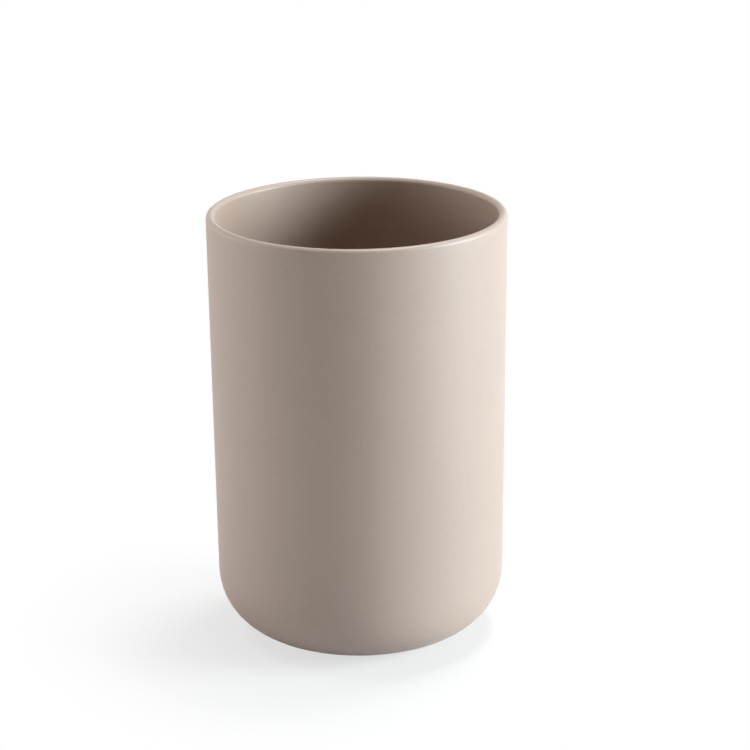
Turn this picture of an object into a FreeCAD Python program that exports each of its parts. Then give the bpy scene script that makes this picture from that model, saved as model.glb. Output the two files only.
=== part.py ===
"""Bathroom tumbler in millimetres: a one-piece moulded cup that stands on a soft non-slip ring.

+Z is up, and the tumbler is round about Z. The origin is the centre of the ring's underside, where
the tumbler rests. Each piece is a body turned from sketches of its section, drawn in the XZ plane.
"""

import FreeCAD, Part
import Sketcher
import math
import os
from enum import IntEnum

# Driving dimensions: name, value, what it measures
SIZES = (
    ("overall_height", 110.0, "counter to the top of the lip"),
    ("mouth_diameter", 75.0, "outside, across the lip"),
    ("wall_thickness", 2.2, "side wall, square to its face"),
    ("wall_draft", 0.5, "degrees that the wall leans out, so that the moulding leaves its tool"),
    ("base_corner_radius", 16.0, "outside, where the wall turns into the base"),
    ("floor_thickness", 3.2, "inside floor down to the land under the base"),
    ("ring_width", 4.0, "non-slip ring, across its section"),
    ("ring_height", 1.8, "non-slip ring, from the counter up to its seat"),
    ("ring_proud", 0.5, "how far the ring stands out below the land"),
    ("ring_side_clearance", 0.05, "between the ring and each side of its groove"),
    ("ring_edge_radius", 0.6, "lower edges of the ring"),
    ("outer_land_width", 1.5, "flat land from the groove out to the base corner"),
    ("inner_land_width", 2.0, "flat land from the groove in to the recess"),
    ("recess_depth", 0.6, "hollow in the middle of the base, so that it cannot rock"),
    ("gate_dimple_diameter", 5.0, "dimple round the moulding gate"),
    ("gate_dimple_depth", 0.5, "dimple, up from the recess"),
    ("gate_stub_diameter", 1.6, "stub that the gate leaves in the dimple"),
    ("gate_stub_height", 0.3, "stub, down from the top of the dimple"),
    ("base_edge_radius", 0.3, "mouths of the groove and of the recess"),
    ("cut_overrun", 1.0, "how far below the land a cut starts"),
)

# Directions in a section, in degrees
DOWNWARD = -90
OUTWARD = 0
INWARD = 180
FULL_TURN = 360

SAME_PLACE = 1e-6
PARTS_FOLDER = "parts"


class Point(IntEnum):
    """The numbers that a sketch gives to the points of an element."""
    START = 1
    END = 2
    CENTRE = 3


class Axis(IntEnum):
    """The numbers that a sketch gives to its own axes."""
    LEVEL = -1
    UPRIGHT = -2


ORIGIN = (Axis.LEVEL, Point.START)


def make_sheet(doc):
    """The spreadsheet that holds the driving dimensions, one named cell each."""
    sheet = doc.addObject("Spreadsheet::Sheet", "Sizes")
    for row, (name, value, meaning) in enumerate(SIZES, start=1):
        sheet.set(f"A{row}", name)
        sheet.set(f"B{row}", str(value))
        sheet.setAlias(f"B{row}", name)
        sheet.set(f"C{row}", meaning)
    doc.recompute()
    return sheet


def section_sketch(body, name):
    """An empty sketch in the body's XZ plane: across is the radius, up is the height."""
    sketch = body.newObject("Sketcher::SketchObject", name)
    plane = next(f for f in body.Origin.OriginFeatures if f.Role == "XZ_Plane")
    sketch.AttachmentSupport = [(plane, "")]
    sketch.MapMode = "FlatFace"
    return sketch


def place(radius, height):
    """A place in a section sketch."""
    return FreeCAD.Vector(radius, height, 0)


def add_mark(sketch, radius, height):
    """A construction point that other elements are placed from."""
    return sketch.addGeometry(Part.Point(place(radius, height)), True)


def add_line(sketch, start, end):
    """A straight stretch between two places."""
    return sketch.addGeometry(Part.LineSegment(place(*start), place(*end)))


def add_arc(sketch, centre, radius, first_direction, last_direction):
    """A round stretch that runs anticlockwise between two directions."""
    circle = Part.Circle(place(*centre), FreeCAD.Vector(0, 0, 1), radius)
    angles = math.radians(first_direction), math.radians(last_direction)
    return sketch.addGeometry(Part.ArcOfCircle(circle, *angles))


def add_outline(sketch, corners):
    """A closed outline of level and upright lines through the corners; the first line is level."""
    ends = corners[1:] + corners[:1]
    lines = [add_line(sketch, start, end) for start, end in zip(corners, ends)]
    for number, line in enumerate(lines):
        following = lines[(number + 1) % len(lines)]
        rule(sketch, "Coincident", line, Point.END, following, Point.START)
        rule(sketch, "Vertical" if number % 2 else "Horizontal", line)
    return lines


def rule(sketch, kind, *elements):
    """Adds a geometric rule, such as a tangent joint."""
    return sketch.addConstraint(Sketcher.Constraint(kind, *elements))


def bind(sketch, name, expression, kind, *elements):
    """Adds a named dimension that follows an expression."""
    value = sketch.evalExpression(expression)
    number = rule(sketch, kind, *elements, value)
    sketch.renameConstraint(number, name)
    sketch.setExpression(f"Constraints.{name}", expression)


def measure(sketch, name, kind, *elements):
    """Adds a named dimension that only measures, so that another sketch can follow it."""
    number = rule(sketch, kind, *elements, 0)
    sketch.setDriving(number, False)
    sketch.renameConstraint(number, name)
    sketch.solve()


def turn(body, kind, name, sketch):
    """Turns a section once round the upright axis, to add material or to cut it."""
    feature = body.newObject(kind, name)
    feature.Profile = sketch
    feature.ReferenceAxis = (sketch, ["V_Axis"])
    feature.Angle = FULL_TURN
    body.Document.recompute()
    return feature


def draw_cup_profile(body, sheet):
    """Section of the cup's wall and floor, with no detail under the base.

    The lip is a half circle as wide as the wall. The lines start upright, and the draft leans them.
    """
    sketch = section_sketch(body, "cup_profile")
    mouth = sheet.mouth_diameter / 2
    wall = sheet.wall_thickness
    lip = wall / 2
    lip_height = sheet.overall_height - lip
    corner = sheet.base_corner_radius
    inner_corner = corner - wall
    flat = mouth - corner
    land = sheet.ring_proud
    floor = land + sheet.floor_thickness

    base_line = add_line(sketch, (0, land), (flat, land))
    corner_arc = add_arc(sketch, (flat, land + corner), corner, DOWNWARD, OUTWARD)
    outer_line = add_line(sketch, (mouth, land + corner), (mouth, lip_height))
    lip_arc = add_arc(sketch, (mouth - lip, lip_height), lip, OUTWARD, INWARD)
    inner_line = add_line(sketch, (mouth - wall, lip_height), (mouth - wall, floor + inner_corner))
    inner_arc = add_arc(sketch, (flat, floor + inner_corner), inner_corner, DOWNWARD, OUTWARD)
    floor_line = add_line(sketch, (flat, floor), (0, floor))
    axis_line = add_line(sketch, (0, floor), (0, land))

    rule(sketch, "Tangent", base_line, Point.END, corner_arc, Point.START)
    rule(sketch, "Tangent", corner_arc, Point.END, outer_line, Point.START)
    rule(sketch, "Tangent", outer_line, Point.END, lip_arc, Point.START)
    rule(sketch, "Tangent", lip_arc, Point.END, inner_line, Point.START)
    rule(sketch, "Tangent", inner_line, Point.END, inner_arc, Point.END)
    rule(sketch, "Tangent", inner_arc, Point.START, floor_line, Point.START)
    rule(sketch, "Coincident", floor_line, Point.END, axis_line, Point.START)
    rule(sketch, "Coincident", axis_line, Point.END, base_line, Point.START)
    rule(sketch, "PointOnObject", axis_line, Point.START, Axis.UPRIGHT)
    rule(sketch, "PointOnObject", axis_line, Point.END, Axis.UPRIGHT)
    rule(sketch, "Horizontal", base_line)
    rule(sketch, "Horizontal", floor_line)
    rule(sketch, "Parallel", outer_line, inner_line)

    bind(sketch, "land_height", "Sizes.ring_proud", "DistanceY", *ORIGIN, base_line, Point.START)
    bind(sketch, "floor_thickness", "Sizes.floor_thickness",
         "DistanceY", base_line, Point.START, floor_line, Point.END)
    bind(sketch, "corner_radius", "Sizes.base_corner_radius", "Radius", corner_arc)
    bind(sketch, "inner_corner_radius", "Sizes.base_corner_radius - Sizes.wall_thickness",
         "Radius", inner_arc)
    bind(sketch, "lip_radius", "Sizes.wall_thickness / 2", "Radius", lip_arc)
    bind(sketch, "lip_centre_radius", "(Sizes.mouth_diameter - Sizes.wall_thickness) / 2",
         "DistanceX", *ORIGIN, lip_arc, Point.CENTRE)
    bind(sketch, "lip_centre_height", "Sizes.overall_height - Sizes.wall_thickness / 2",
         "DistanceY", *ORIGIN, lip_arc, Point.CENTRE)
    bind(sketch, "wall_slope", "(90 - Sizes.wall_draft) * 1 deg", "Angle", outer_line)
    measure(sketch, "flat_radius", "DistanceX", *ORIGIN, base_line, Point.END)
    return sketch


def draw_ring_groove(body, sheet, cup_profile):
    """Section of the groove that holds the ring, placed from the edge of the flat base."""
    sketch = section_sketch(body, "ring_groove_profile")
    land = sheet.ring_proud
    flat = cup_profile.getDatum("flat_radius").Value
    outside = flat - sheet.outer_land_width
    inside = outside - sheet.ring_width
    below = land - sheet.cut_overrun
    above = sheet.ring_height

    flat_edge = add_mark(sketch, flat, land)
    bind(sketch, "flat_radius", "cup_profile.Constraints.flat_radius",
         "DistanceX", *ORIGIN, flat_edge, Point.START)
    bind(sketch, "land_height", "Sizes.ring_proud", "DistanceY", *ORIGIN, flat_edge, Point.START)

    corners = [(inside, below), (outside, below), (outside, above), (inside, above)]
    _, outer_side, seat, inner_side = add_outline(sketch, corners)
    bind(sketch, "outer_land_width", "Sizes.outer_land_width",
         "DistanceX", outer_side, Point.START, flat_edge, Point.START)
    bind(sketch, "overrun", "Sizes.cut_overrun",
         "DistanceY", outer_side, Point.START, flat_edge, Point.START)
    bind(sketch, "depth", "Sizes.ring_height - Sizes.ring_proud",
         "DistanceY", flat_edge, Point.START, outer_side, Point.END)
    bind(sketch, "width", "Sizes.ring_width + 2 * Sizes.ring_side_clearance",
         "DistanceX", seat, Point.END, seat, Point.START)
    measure(sketch, "outer_radius", "DistanceX", *ORIGIN, outer_side, Point.START)
    measure(sketch, "inner_radius", "DistanceX", *ORIGIN, inner_side, Point.START)
    return sketch


def draw_base_recess(body, sheet, groove_profile):
    """Section of the hollow inside the groove, with the dimple and the stub of the moulding gate."""
    sketch = section_sketch(body, "base_recess_profile")
    land = sheet.ring_proud
    groove = groove_profile.getDatum("inner_radius").Value
    edge = groove - sheet.inner_land_width
    below = land - sheet.cut_overrun
    roof = land + sheet.recess_depth
    dimple = sheet.gate_dimple_diameter / 2
    dimple_top = roof + sheet.gate_dimple_depth
    stub = sheet.gate_stub_diameter / 2
    stub_end = dimple_top - sheet.gate_stub_height

    groove_edge = add_mark(sketch, groove, land)
    bind(sketch, "groove_radius", "ring_groove_profile.Constraints.inner_radius",
         "DistanceX", *ORIGIN, groove_edge, Point.START)
    bind(sketch, "land_height", "Sizes.ring_proud", "DistanceY", *ORIGIN, groove_edge, Point.START)

    corners = [(0, below), (edge, below), (edge, roof), (dimple, roof), (dimple, dimple_top),
               (stub, dimple_top), (stub, stub_end), (0, stub_end)]
    bottom, rim, _, dimple_side, dimple_roof, stub_side, _, _ = add_outline(sketch, corners)
    rule(sketch, "PointOnObject", bottom, Point.START, Axis.UPRIGHT)
    bind(sketch, "inner_land_width", "Sizes.inner_land_width",
         "DistanceX", rim, Point.START, groove_edge, Point.START)
    bind(sketch, "overrun", "Sizes.cut_overrun",
         "DistanceY", rim, Point.START, groove_edge, Point.START)
    bind(sketch, "depth", "Sizes.recess_depth",
         "DistanceY", groove_edge, Point.START, rim, Point.END)
    bind(sketch, "dimple_radius", "Sizes.gate_dimple_diameter / 2",
         "DistanceX", *ORIGIN, dimple_side, Point.START)
    bind(sketch, "dimple_depth", "Sizes.gate_dimple_depth",
         "DistanceY", dimple_side, Point.START, dimple_side, Point.END)
    bind(sketch, "stub_radius", "Sizes.gate_stub_diameter / 2",
         "DistanceX", *ORIGIN, dimple_roof, Point.END)
    bind(sketch, "stub_height", "Sizes.gate_stub_height",
         "DistanceY", stub_side, Point.END, stub_side, Point.START)
    return sketch


def circles_at(shape, height):
    """Names and radii of the round edges that lie level at a height."""
    found = {}
    for number, edge in enumerate(shape.Edges, start=1):
        curve = edge.Curve
        if isinstance(curve, Part.Circle) and abs(curve.Center.z - height) < SAME_PLACE:
            found[f"Edge{number}"] = curve.Radius
    return found


def round_edges(body, feature, name, edges, expression):
    """Rounds the named edges of the body's last feature."""
    fillet = body.newObject("PartDesign::Fillet", name)
    fillet.Base = (feature, list(edges))
    fillet.setExpression("Radius", expression)
    body.Document.recompute()
    return fillet


def make_cup(doc, sheet):
    """The moulded cup, and the groove's section that the ring follows."""
    body = doc.addObject("PartDesign::Body", "tumbler_cup")
    cup_profile = draw_cup_profile(body, sheet)
    cup_wall = turn(body, "PartDesign::Revolution", "cup_wall", cup_profile)

    groove_profile = draw_ring_groove(body, sheet, cup_profile)
    ring_groove = turn(body, "PartDesign::Groove", "ring_groove", groove_profile)
    require_cut(cup_wall, ring_groove)

    recess_profile = draw_base_recess(body, sheet, groove_profile)
    base_recess = turn(body, "PartDesign::Groove", "base_recess", recess_profile)
    require_cut(ring_groove, base_recess)

    flat = cup_profile.getDatum("flat_radius").Value
    land_circles = circles_at(base_recess.Shape, sheet.ring_proud)
    mouths = [edge for edge, radius in land_circles.items() if radius < flat - SAME_PLACE]
    round_edges(body, base_recess, "base_edges", mouths, "Sizes.base_edge_radius")
    return body, groove_profile


def make_ring(doc, sheet, groove_profile):
    """The soft ring: its top seats against the groove, and its underside is the tumbler's foot."""
    body = doc.addObject("PartDesign::Body", "foot_ring")
    sketch = section_sketch(body, "ring_profile")
    groove = groove_profile.getDatum("outer_radius").Value
    outside = groove - sheet.ring_side_clearance
    inside = outside - sheet.ring_width
    above = sheet.ring_height

    groove_edge = add_mark(sketch, groove, 0)
    rule(sketch, "PointOnObject", groove_edge, Point.START, Axis.LEVEL)
    bind(sketch, "groove_radius", "ring_groove_profile.Constraints.outer_radius",
         "DistanceX", *ORIGIN, groove_edge, Point.START)

    corners = [(inside, 0), (outside, 0), (outside, above), (inside, above)]
    foot, outer_side, seat, _ = add_outline(sketch, corners)
    rule(sketch, "PointOnObject", foot, Point.START, Axis.LEVEL)
    bind(sketch, "side_clearance", "Sizes.ring_side_clearance",
         "DistanceX", outer_side, Point.START, groove_edge, Point.START)
    bind(sketch, "height", "Sizes.ring_height",
         "DistanceY", outer_side, Point.START, outer_side, Point.END)
    bind(sketch, "width", "Sizes.ring_width", "DistanceX", seat, Point.END, seat, Point.START)

    ring = turn(body, "PartDesign::Revolution", "ring", sketch)
    round_edges(body, ring, "ring_edges", circles_at(ring.Shape, 0), "Sizes.ring_edge_radius")
    return body


def require_cut(before, after):
    """Stops the build if a cut took nothing away."""
    if after.Shape.Volume >= before.Shape.Volume:
        raise RuntimeError(f"{after.Name} cut nothing")


def require_sound(doc, bodies):
    """Stops the build if a feature failed, a sketch is loose or a piece isn't one valid solid."""
    for item in doc.Objects:
        if "Invalid" in item.State or "Error" in item.State:
            raise RuntimeError(f"{item.Name} failed: {item.State}")
        if item.isDerivedFrom("Sketcher::SketchObject") and not item.FullyConstrained:
            raise RuntimeError(f"{item.Name} isn't fully constrained")
    for body in bodies:
        shape = body.Shape
        if shape.isNull() or not shape.isValid() or len(shape.Solids) != 1:
            raise RuntimeError(f"{body.Label} isn't one valid solid")


def export(bodies):
    """Writes each piece to a file under its own name."""
    os.makedirs(PARTS_FOLDER, exist_ok=True)
    for body in bodies:
        body.Shape.exportStep(os.path.join(PARTS_FOLDER, f"{body.Label}.step"))
        print(f"{body.Label}: {body.Shape.Volume:.1f} mm3, {len(body.Shape.Faces)} faces")


def main():
    doc = FreeCAD.newDocument("bathroom_tumbler")
    sheet = make_sheet(doc)
    cup, groove_profile = make_cup(doc, sheet)
    ring = make_ring(doc, sheet, groove_profile)
    doc.recompute()
    bodies = (cup, ring)
    require_sound(doc, bodies)
    export(bodies)


main()
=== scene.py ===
"""Looks of the bathroom tumbler, in metres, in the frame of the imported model.

The cup and its ring are turned again from their sections as even quads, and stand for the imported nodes.
"""

import math
from typing import NamedTuple

import bmesh
import bpy
from mathutils import Matrix, Quaternion, Vector


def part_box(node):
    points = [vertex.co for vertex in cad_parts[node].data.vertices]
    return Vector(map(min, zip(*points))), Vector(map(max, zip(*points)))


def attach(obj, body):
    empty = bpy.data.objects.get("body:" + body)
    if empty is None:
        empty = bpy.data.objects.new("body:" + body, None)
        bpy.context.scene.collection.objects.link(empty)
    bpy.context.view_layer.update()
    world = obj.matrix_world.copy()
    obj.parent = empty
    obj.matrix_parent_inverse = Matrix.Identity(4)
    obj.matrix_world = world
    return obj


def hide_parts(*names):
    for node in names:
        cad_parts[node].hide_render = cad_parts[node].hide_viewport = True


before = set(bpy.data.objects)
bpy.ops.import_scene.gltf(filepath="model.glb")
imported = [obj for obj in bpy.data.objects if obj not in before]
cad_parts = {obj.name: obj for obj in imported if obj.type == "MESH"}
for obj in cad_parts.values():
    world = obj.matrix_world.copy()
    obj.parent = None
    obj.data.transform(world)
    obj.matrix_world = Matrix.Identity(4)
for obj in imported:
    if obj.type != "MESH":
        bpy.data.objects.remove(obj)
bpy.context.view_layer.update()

MM = 0.001
BODY = "root"

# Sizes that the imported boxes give
CUP_LOW, CUP_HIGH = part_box("tumbler_cup")
RING_LOW, RING_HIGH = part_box("foot_ring")
LAND_HEIGHT = CUP_LOW.z
OVERALL_HEIGHT = CUP_HIGH.z
MOUTH_RADIUS = max(CUP_HIGH.x, CUP_HIGH.y)
RING_RADIUS = max(RING_HIGH.x, RING_HIGH.y)
RING_HEIGHT = RING_HIGH.z

# Sizes of the sections, as the solids have them
WALL = 2.2 * MM
LIP_RADIUS = WALL / 2
DRAFT = math.radians(0.5)
BASE_CORNER = 16 * MM
FLOOR_THICKNESS = 3.2 * MM
RING_WIDTH = 4 * MM
RING_CLEARANCE = 0.05 * MM
RING_EDGE = 0.6 * MM
INNER_LAND = 2 * MM
RECESS_DEPTH = 0.6 * MM
GATE_DIMPLE_RADIUS = 2.5 * MM
GATE_DIMPLE_DEPTH = 0.5 * MM
GATE_STUB_RADIUS = 0.8 * MM
GATE_STUB_HEIGHT = 0.3 * MM
BASE_EDGE = 0.3 * MM

# How finely the sections are turned
STEPS_AROUND = 192
LONGEST_RUN = 3 * MM
ARC_STEP = math.radians(7.5)
SHARP_ANGLE = math.radians(40)

# Directions in a section
DOWN = math.radians(-90)
OUT = 0
UP = math.radians(90)
IN = math.radians(180)

# The photograph's camera, its sensor in millimetres
CAMERA_DISTANCE = 650 * MM
CAMERA_ELEVATION = math.radians(17.927)
CAMERA_YAW = math.radians(-0.386)
CAMERA_ROLL = math.radians(-0.558)
AIM_HEIGHT = 67.15 * MM
SENSOR = 36
FOCAL_PIXELS = 2564
FRAME_PIXELS = 750


class Finish(NamedTuple):
    """A moulded surface. The colour is linear, and the shares say how far it strays either way.

    Inside shade saturation is how much deeper the colour is painted on walls that face the axis: painted
    shade, for the light that bounces round inside the cup.
    """
    colour: tuple
    inside_shade_saturation: float
    drift_size: float
    drift_share: float
    fleck_size: float
    fleck_share: float
    roughness: tuple
    specular: float
    sheen: float
    grain_size: float
    grain_depth: float


CUP_FINISH = Finish(
    colour=(0.417, 0.317, 0.259),
    inside_shade_saturation=1.15,
    drift_size=25 * MM,
    drift_share=0.012,
    fleck_size=0.9 * MM,
    fleck_share=0.02,
    roughness=(0.53, 0.58),
    specular=0.66,
    sheen=0.095,
    grain_size=0.3 * MM,
    grain_depth=0.014 * MM,
)
RING_FINISH = Finish(
    colour=(0.30, 0.25, 0.215),
    inside_shade_saturation=1,
    drift_size=8 * MM,
    drift_share=0.04,
    fleck_size=0.3 * MM,
    fleck_share=0.05,
    roughness=(0.7, 0.8),
    specular=0.4,
    sheen=0.1,
    grain_size=0.15 * MM,
    grain_depth=0.01 * MM,
)

# The part of a noise pattern's range that most of it lies in
PATTERN_LOW_SHARE = 0.3
PATTERN_HIGH_SHARE = 0.7

# Hands keep the lip smoother than the wall
LIP_ROUGHNESS = 0.45
LIP_SMOOTH_DEPTH = 2 * MM


class Softbox(NamedTuple):
    """A rectangular lamp that faces the tumbler.

    Azimuth 0 is at the camera and 90 at the right. Level is how bright a white card at the tumbler,
    square to the lamp, looks by its light alone. Tint is the colour of the light.
    """
    name: str
    azimuth: float
    elevation: float
    width: float
    height: float
    level: float
    tint: tuple


NEUTRAL = 1, 1, 1
COOL = 0.88, 1, 1.07
SOFTBOX_DISTANCE = 1.2
SOFTBOXES = (
    Softbox("key_right", azimuth=81, elevation=14.2, width=0.54, height=0.56, level=1.62, tint=COOL),
    Softbox("high_back", azimuth=136, elevation=73, width=0.29, height=0.3, level=0.62, tint=NEUTRAL),
    Softbox("fill_left", azimuth=-97, elevation=9.5, width=1.4, height=0.57, level=0.61, tint=NEUTRAL),
    Softbox("high_left", azimuth=-101, elevation=57.5, width=0.6, height=0.2, level=0.156, tint=NEUTRAL),
)

# The floor shows white, and the tumbler's shadow only round its base
FLOOR_SIDE = 6.0
FLOOR_CLEARANCE = 0.1 * MM
FLOOR_BOUNCE = 0.85
SHADE_NEAR = 30 * MM
SHADE_FAR = 90 * MM

# Round the base the lamps light a share of the white, at this level on open floor, and the rest glows
FLOOR_SHADE_SHARE = 0.3
FLOOR_OPEN_LEVEL = 1.15


def arc(centre, radius, first, last):
    """Points of a round stretch of a section, both ends included."""
    steps = max(2, math.ceil(abs(last - first) / ARC_STEP))
    angles = [first + (last - first) * step / steps for step in range(steps + 1)]
    return [(centre[0] + radius * math.cos(a), centre[1] + radius * math.sin(a)) for a in angles]


def run(start, end):
    """Points of a straight stretch of a section, without its ends."""
    steps = math.ceil(math.dist(start, end) / LONGEST_RUN)
    return [tuple(Vector(start).lerp(Vector(end), step / steps)) for step in range(1, steps)]


def joined(stretches):
    """One outline of stretches, with straight runs between them."""
    outline = list(stretches[0])
    for stretch in stretches[1:]:
        outline += run(outline[-1], stretch[0])
        outline += stretch
    return outline


def lathe(name, outline, closed):
    """Turns an outline of radii and heights about Z. One that isn't closed starts and ends on the axis."""
    mesh = bmesh.new()
    turns = [2 * math.pi * step / STEPS_AROUND for step in range(STEPS_AROUND)]
    circles = []
    for radius, height in outline:
        if radius > 0:
            circle = [mesh.verts.new((radius * math.cos(t), radius * math.sin(t), height)) for t in turns]
        else:
            circle = [mesh.verts.new((0, 0, height))] * STEPS_AROUND
        circles.append(circle)
    pairs = list(zip(circles, circles[1:]))
    if closed:
        pairs.append((circles[-1], circles[0]))
    for lower, upper in pairs:
        for step in range(STEPS_AROUND):
            after = (step + 1) % STEPS_AROUND
            corners = (lower[step], lower[after], upper[after], upper[step])
            mesh.faces.new(dict.fromkeys(corners))
    data = bpy.data.meshes.new(name)
    mesh.to_mesh(data)
    mesh.free()
    data.shade_smooth()
    data.set_sharp_from_angle(angle=SHARP_ANGLE)
    piece = bpy.data.objects.new(name, data)
    bpy.context.collection.objects.link(piece)
    return piece


def cup_outline():
    """Section of the cup: from the middle of the underside, round the wall, to the middle of the floor."""
    lip_centre = MOUTH_RADIUS - LIP_RADIUS, OVERALL_HEIGHT - LIP_RADIUS

    def corner_centre(reach, height):
        """Centre of a corner that the wall runs into, so far inside the line through the lip's centre."""
        return lip_centre[0] - reach / math.cos(DRAFT) - (lip_centre[1] - height) * math.tan(DRAFT), height

    inner_corner = BASE_CORNER - WALL
    floor_height = LAND_HEIGHT + FLOOR_THICKNESS
    outer_centre = corner_centre(BASE_CORNER - LIP_RADIUS, LAND_HEIGHT + BASE_CORNER)
    inner_centre = corner_centre(inner_corner + LIP_RADIUS, floor_height + inner_corner)

    groove_outside = RING_RADIUS + RING_CLEARANCE
    groove_inside = groove_outside - RING_WIDTH - 2 * RING_CLEARANCE
    recess = groove_inside - INNER_LAND
    recess_roof = LAND_HEIGHT + RECESS_DEPTH
    dimple_roof = recess_roof + GATE_DIMPLE_DEPTH
    stub_end = dimple_roof - GATE_STUB_HEIGHT
    edge_height = LAND_HEIGHT + BASE_EDGE
    return joined([
        [(0, stub_end)],
        [(GATE_STUB_RADIUS, stub_end)],
        [(GATE_STUB_RADIUS, dimple_roof)],
        [(GATE_DIMPLE_RADIUS, dimple_roof)],
        [(GATE_DIMPLE_RADIUS, recess_roof)],
        [(recess, recess_roof)],
        arc((recess + BASE_EDGE, edge_height), BASE_EDGE, -IN, DOWN),
        arc((groove_inside - BASE_EDGE, edge_height), BASE_EDGE, DOWN, OUT),
        [(groove_inside, RING_HEIGHT)],
        [(groove_outside, RING_HEIGHT)],
        arc((groove_outside + BASE_EDGE, edge_height), BASE_EDGE, -IN, DOWN),
        arc(outer_centre, BASE_CORNER, DOWN, -DRAFT),
        arc(lip_centre, LIP_RADIUS, -DRAFT, IN - DRAFT),
        arc(inner_centre, inner_corner, -DRAFT, DOWN),
        [(0, floor_height)],
    ])


def ring_outline():
    """Section of the non-slip ring, once round."""
    inside = RING_RADIUS - RING_WIDTH
    return joined([
        arc((inside + RING_EDGE, RING_EDGE), RING_EDGE, -IN, DOWN),
        arc((RING_RADIUS - RING_EDGE, RING_EDGE), RING_EDGE, DOWN, OUT),
        [(RING_RADIUS, RING_HEIGHT)],
        [(inside, RING_HEIGHT)],
    ])


def new_tree(owner):
    """The emptied node tree of a material or world."""
    owner.use_nodes = True
    owner.node_tree.nodes.clear()
    return owner.node_tree


def add_node(tree, kind, inputs, **settings):
    """Adds a node. An input takes another node's output, or a value of its own."""
    node = tree.nodes.new(kind)
    for name, value in settings.items():
        setattr(node, name, value)
    for name, value in inputs.items():
        if isinstance(value, bpy.types.NodeSocket):
            tree.links.new(value, node.inputs[name])
        else:
            node.inputs[name].default_value = value
    return node


def noise(tree, place, size):
    """A noise pattern whose features are about so large."""
    return add_node(tree, "ShaderNodeTexNoise", {"Vector": place, "Scale": 1 / size}).outputs["Fac"]


def ramp(tree, value, from_range, to_range):
    """A value carried from one range to another, and held there."""
    mapped = add_node(tree, "ShaderNodeMapRange", {
        "Value": value,
        "From Min": from_range[0],
        "From Max": from_range[1],
        "To Min": to_range[0],
        "To Max": to_range[1],
    })
    return mapped.outputs["Result"]


def spread(tree, pattern, low, high):
    """A pattern's middle range, spread from a low to a high value."""
    return ramp(tree, pattern, (PATTERN_LOW_SHARE, PATTERN_HIGH_SHARE), (low, high))


def handled(tree, place, roughness):
    """A roughness that falls to the lip's at the top of the cup."""
    height = add_node(tree, "ShaderNodeSeparateXYZ", {"Vector": place}).outputs["Z"]
    smooth = ramp(tree, height, (OVERALL_HEIGHT - LIP_SMOOTH_DEPTH, OVERALL_HEIGHT), (0, 1))
    blend = add_node(tree, "ShaderNodeMix", {"Factor": smooth, "A": roughness, "B": LIP_ROUGHNESS})
    return blend.outputs["Result"]


def painted_inner_shade(tree, surface, colour, saturation):
    """Painted shade: a colour that is so much deeper on walls that face the axis, where place and normal
    are opposed, for the light that bounces round inside the cup.
    """
    outward = add_node(tree, "ShaderNodeVectorMath", {
        0: surface["Object"],
        1: surface["Normal"],
    }, operation="DOT_PRODUCT")
    deep = add_node(tree, "ShaderNodeHueSaturation", {
        "Color": colour,
        "Saturation": ramp(tree, outward.outputs["Value"], (0, -MOUTH_RADIUS / 2), (1, saturation)),
    })
    return deep.outputs["Color"]


def moulded(name, finish):
    """A moulded surface, finely grained. Its colour drifts and is finely flecked, and its gloss drifts."""
    material = bpy.data.materials.new(name)
    tree = new_tree(material)
    surface = add_node(tree, "ShaderNodeTexCoord", {}).outputs
    place = surface["Object"]
    drift = noise(tree, place, finish.drift_size)
    fleck = noise(tree, place, finish.fleck_size)
    shade = add_node(tree, "ShaderNodeMath", {
        0: spread(tree, drift, 1 - finish.drift_share, 1 + finish.drift_share),
        1: spread(tree, fleck, 1 - finish.fleck_share, 1 + finish.fleck_share),
    }, operation="MULTIPLY")
    colour = add_node(tree, "ShaderNodeVectorMath", {
        "Vector": finish.colour,
        "Scale": shade.outputs["Value"],
    }, operation="SCALE")
    grain = add_node(tree, "ShaderNodeBump", {
        "Height": noise(tree, place, finish.grain_size),
        "Distance": finish.grain_depth,
    })
    shader = add_node(tree, "ShaderNodeBsdfPrincipled", {
        # The colour is painted a shade deeper inside the cup, as painted shade for the light that bounces
        # round in there
        "Base Color": painted_inner_shade(tree, surface, colour.outputs["Vector"], finish.inside_shade_saturation),
        "Roughness": handled(tree, place, spread(tree, drift, *finish.roughness)),
        "Specular IOR Level": finish.specular,
        "Sheen Weight": finish.sheen,
        "Normal": grain.outputs["Normal"],
    })
    add_node(tree, "ShaderNodeOutputMaterial", {"Surface": shader.outputs["BSDF"]})
    return material


def add_cup():
    piece = lathe("cup", cup_outline(), closed=False)
    piece.data.materials.append(moulded("cup_plastic_satin", CUP_FINISH))
    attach(piece, BODY)
    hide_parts("tumbler_cup")


def add_ring():
    piece = lathe("non_slip_ring", ring_outline(), closed=True)
    piece.data.materials.append(moulded("ring_rubber", RING_FINISH))
    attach(piece, BODY)
    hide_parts("foot_ring")


def seen(tree):
    """1 on rays that show the background, straight or by gloss or glass, and 0 on the rest."""
    path = add_node(tree, "ShaderNodeLightPath", {})
    total = path.outputs["Is Camera Ray"]
    for kind in ("Is Glossy Ray", "Is Transmission Ray"):
        both = add_node(tree, "ShaderNodeMath", {0: total, 1: path.outputs[kind]}, use_clamp=True)
        total = both.outputs["Value"]
    return total


def mixed(tree, share, first, second):
    """Two shaders, mixed."""
    return add_node(tree, "ShaderNodeMixShader", {0: share, 1: first, 2: second}).outputs["Shader"]


def grey(level):
    return level, level, level, 1


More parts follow.
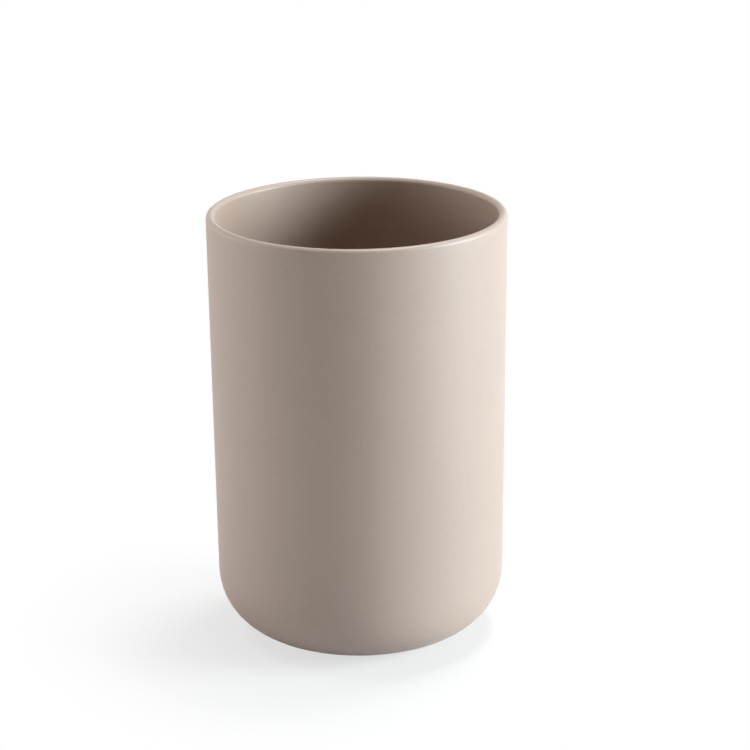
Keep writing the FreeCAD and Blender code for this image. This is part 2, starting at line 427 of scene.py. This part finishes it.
def add_floor():
    """A white floor that keeps the tumbler's shadow round its base, and can be seen through from below.

    The shadow is softened for the camera, and the tumbler's own gloss shows it in full, apart from the
    floor under the ring and inside it, which gives the underside some light to be seen by.
    """
    bpy.ops.mesh.primitive_plane_add(size=FLOOR_SIDE, location=(0, 0, -FLOOR_CLEARANCE))
    floor = bpy.context.object
    floor.name = "floor"
    material = bpy.data.materials.new("floor_white")
    tree = new_tree(material)
    bounce = add_node(tree, "ShaderNodeBsdfDiffuse", {"Color": grey(FLOOR_BOUNCE)})
    white = add_node(tree, "ShaderNodeEmission", {"Strength": 1})
    glow = add_node(tree, "ShaderNodeEmission", {"Strength": 1 - FLOOR_SHADE_SHARE * FLOOR_OPEN_LEVEL})
    shade = add_node(tree, "ShaderNodeBsdfDiffuse", {"Color": grey(FLOOR_SHADE_SHARE)})
    shaded = add_node(tree, "ShaderNodeAddShader", {0: glow.outputs[0], 1: shade.outputs[0]})
    place = add_node(tree, "ShaderNodeTexCoord", {}).outputs["Object"]
    reach = add_node(tree, "ShaderNodeVectorMath", {0: place}, operation="LENGTH").outputs["Value"]
    near = ramp(tree, reach, (SHADE_NEAR, SHADE_FAR), (1, 0))
    in_full = add_node(tree, "ShaderNodeMath", {
        0: add_node(tree, "ShaderNodeLightPath", {}).outputs["Is Glossy Ray"],
        1: ramp(tree, reach, (RING_RADIUS, RING_RADIUS + RING_EDGE), (0, 1)),
    }, operation="MULTIPLY")
    near_look = mixed(tree, in_full.outputs["Value"], shaded.outputs[0], bounce.outputs[0])
    look = mixed(tree, near, white.outputs[0], near_look)
    upper = mixed(tree, seen(tree), bounce.outputs[0], look)
    clear = add_node(tree, "ShaderNodeBsdfTransparent", {})
    below = add_node(tree, "ShaderNodeNewGeometry", {}).outputs["Backfacing"]
    add_node(tree, "ShaderNodeOutputMaterial", {"Surface": mixed(tree, below, upper, clear.outputs[0])})
    floor.data.materials.append(material)


def add_world():
    """A surround that shows white and gives no light of its own."""
    world = bpy.data.worlds.new("surround")
    bpy.context.scene.world = world
    tree = new_tree(world)
    white = add_node(tree, "ShaderNodeBackground", {"Color": grey(1), "Strength": seen(tree)})
    add_node(tree, "ShaderNodeOutputWorld", {"Surface": white.outputs[0]})


def add_softbox(box):
    """Hangs a lamp round the tumbler, facing its middle."""
    lamp = bpy.data.lights.new(box.name, "AREA")
    lamp.color = box.tint
    lamp.shape = "RECTANGLE"
    lamp.size = box.width
    lamp.size_y = box.height
    lamp.energy = box.level * (math.pi * SOFTBOX_DISTANCE) ** 2
    azimuth = math.radians(box.azimuth)
    elevation = math.radians(box.elevation)
    away = Vector((math.sin(azimuth) * math.cos(elevation),
                   -math.cos(azimuth) * math.cos(elevation),
                   math.sin(elevation)))
    holder = bpy.data.objects.new(box.name, lamp)
    holder.location = Vector((0, 0, OVERALL_HEIGHT / 2)) + away * SOFTBOX_DISTANCE
    holder.rotation_euler = (-away).to_track_quat("-Z", "Y").to_euler()
    holder.visible_camera = False
    bpy.context.collection.objects.link(holder)


def add_camera():
    """The photograph's camera, which is turned and rolled a little off the tumbler's axis."""
    back = Vector((0, -math.cos(CAMERA_ELEVATION), math.sin(CAMERA_ELEVATION)))
    forward = Matrix.Rotation(CAMERA_YAW, 3, "Z") @ -back
    data = bpy.data.cameras.new("camera")
    data.sensor_width = SENSOR
    data.lens = SENSOR * FOCAL_PIXELS / FRAME_PIXELS
    camera = bpy.data.objects.new("camera", data)
    camera.location = Vector((0, 0, AIM_HEIGHT)) + back * CAMERA_DISTANCE
    camera.rotation_mode = "QUATERNION"
    roll = Quaternion((0, 0, 1), CAMERA_ROLL)
    camera.rotation_quaternion = forward.to_track_quat("-Z", "Y") @ roll
    bpy.context.collection.objects.link(camera)
    bpy.context.scene.camera = camera


bpy.context.scene.view_settings.view_transform = "Standard"
add_cup()
add_ring()
add_floor()
add_world()
for softbox in SOFTBOXES:
    add_softbox(softbox)
add_camera()
